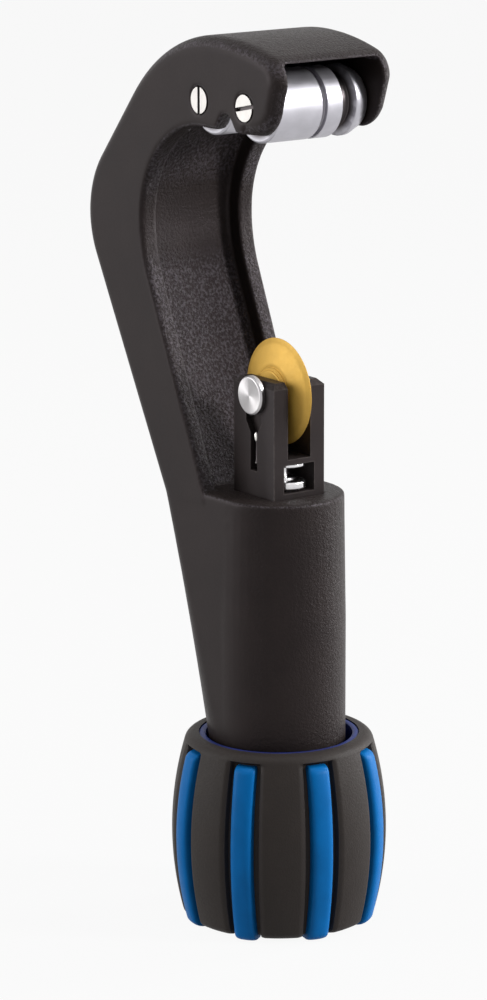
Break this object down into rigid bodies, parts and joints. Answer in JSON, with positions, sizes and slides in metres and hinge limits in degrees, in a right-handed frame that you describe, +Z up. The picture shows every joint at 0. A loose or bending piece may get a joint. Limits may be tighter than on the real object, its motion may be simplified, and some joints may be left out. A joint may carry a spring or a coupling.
{
  "type": "telescoping tube cutter",
  "caption": "C-frame tube cutter with a knob-fed cutting wheel, guide rollers and a quick-release wheel pin.",
  "frame": {"origin": "centre of the knob's flat end face", "axes": "+Z up the barrel's axis, +X towards the open side of the C, Y across the width with the button on -Y"},
  "size_m": [0.0728, 0.0462, 0.1887],
  "materials": {
    "black_casting": "painted black, satin, fine wrinkle",
    "pin_steel": "turned",
    "roller_steel": "polished",
    "bronze": "turned",
    "dark_steel": "turned",
    "white_nylon": "matte",
    "black_carriage": "satin",
    "bright_steel": "turned",
    "gold_wheel": "satin coating",
    "button_steel": "turned",
    "blue_plastic": "satin",
    "black_grip": "matte",
    "black_plastic": "matte"
  },
  "bodies": {
    "frame": {"frame_casting": "black_casting", "roller_pin_front": "pin_steel", "roller_pin_rear": "pin_steel", "bearing_bush": "bronze", "thrust_washer_upper": "dark_steel", "thrust_washer_lower": "white_nylon"},
    "knob": {"knob_core": "blue_plastic", "knob_grip": "black_grip", "knob_end_cap": "black_plastic", "knob_screw": "dark_steel", "knob_screw_washer": "dark_steel", "threaded_sleeve": "dark_steel"},
    "carriage": {"carriage_block": "black_carriage", "feed_spindle": "bright_steel", "spindle_thrust_ring": "bright_steel", "detent_spring_wire": "bright_steel"},
    "cutting_wheel": {"cutter_wheel": "gold_wheel"},
    "axle_pin": {"wheel_axle_pin": "button_steel"},
    "front_roller": {"roller_front": "roller_steel"},
    "rear_roller": {"roller_rear": "roller_steel"}
  },
  "joints": [
    {"name": "knob_turn", "type": "hinge", "parent": "frame", "child": "knob", "pos_m": [0, 0, 0.018], "axis": [0, 0, 1], "range_deg": [-1440.5, 5220.5]},
    {"name": "carriage_slide", "type": "slide", "parent": "frame", "child": "carriage", "axis": [0, 0, 1], "range_m": [-0.012, 0.0435]},
    {"name": "wheel_spin", "type": "hinge", "parent": "carriage", "child": "cutting_wheel", "pos_m": [0, 0, 0.11407], "axis": [0, 1, 0], "continuous": true},
    {"name": "axle_pin_pull", "type": "slide", "parent": "carriage", "child": "axle_pin", "axis": [0, -1, 0], "range_m": [0, 0.01]},
    {"name": "roller_front_spin", "type": "hinge", "parent": "frame", "child": "front_roller", "pos_m": [0.00825, 0, 0.1752], "axis": [0, 1, 0], "continuous": true},
    {"name": "roller_rear_spin", "type": "hinge", "parent": "frame", "child": "rear_roller", "pos_m": [-0.00725, 0, 0.1752], "axis": [0, 1, 0], "continuous": true}
  ],
  "couplings": [
    {"joint": "knob_turn", "follows": "carriage_slide", "rad_per_m": 2094.4}
  ]
}
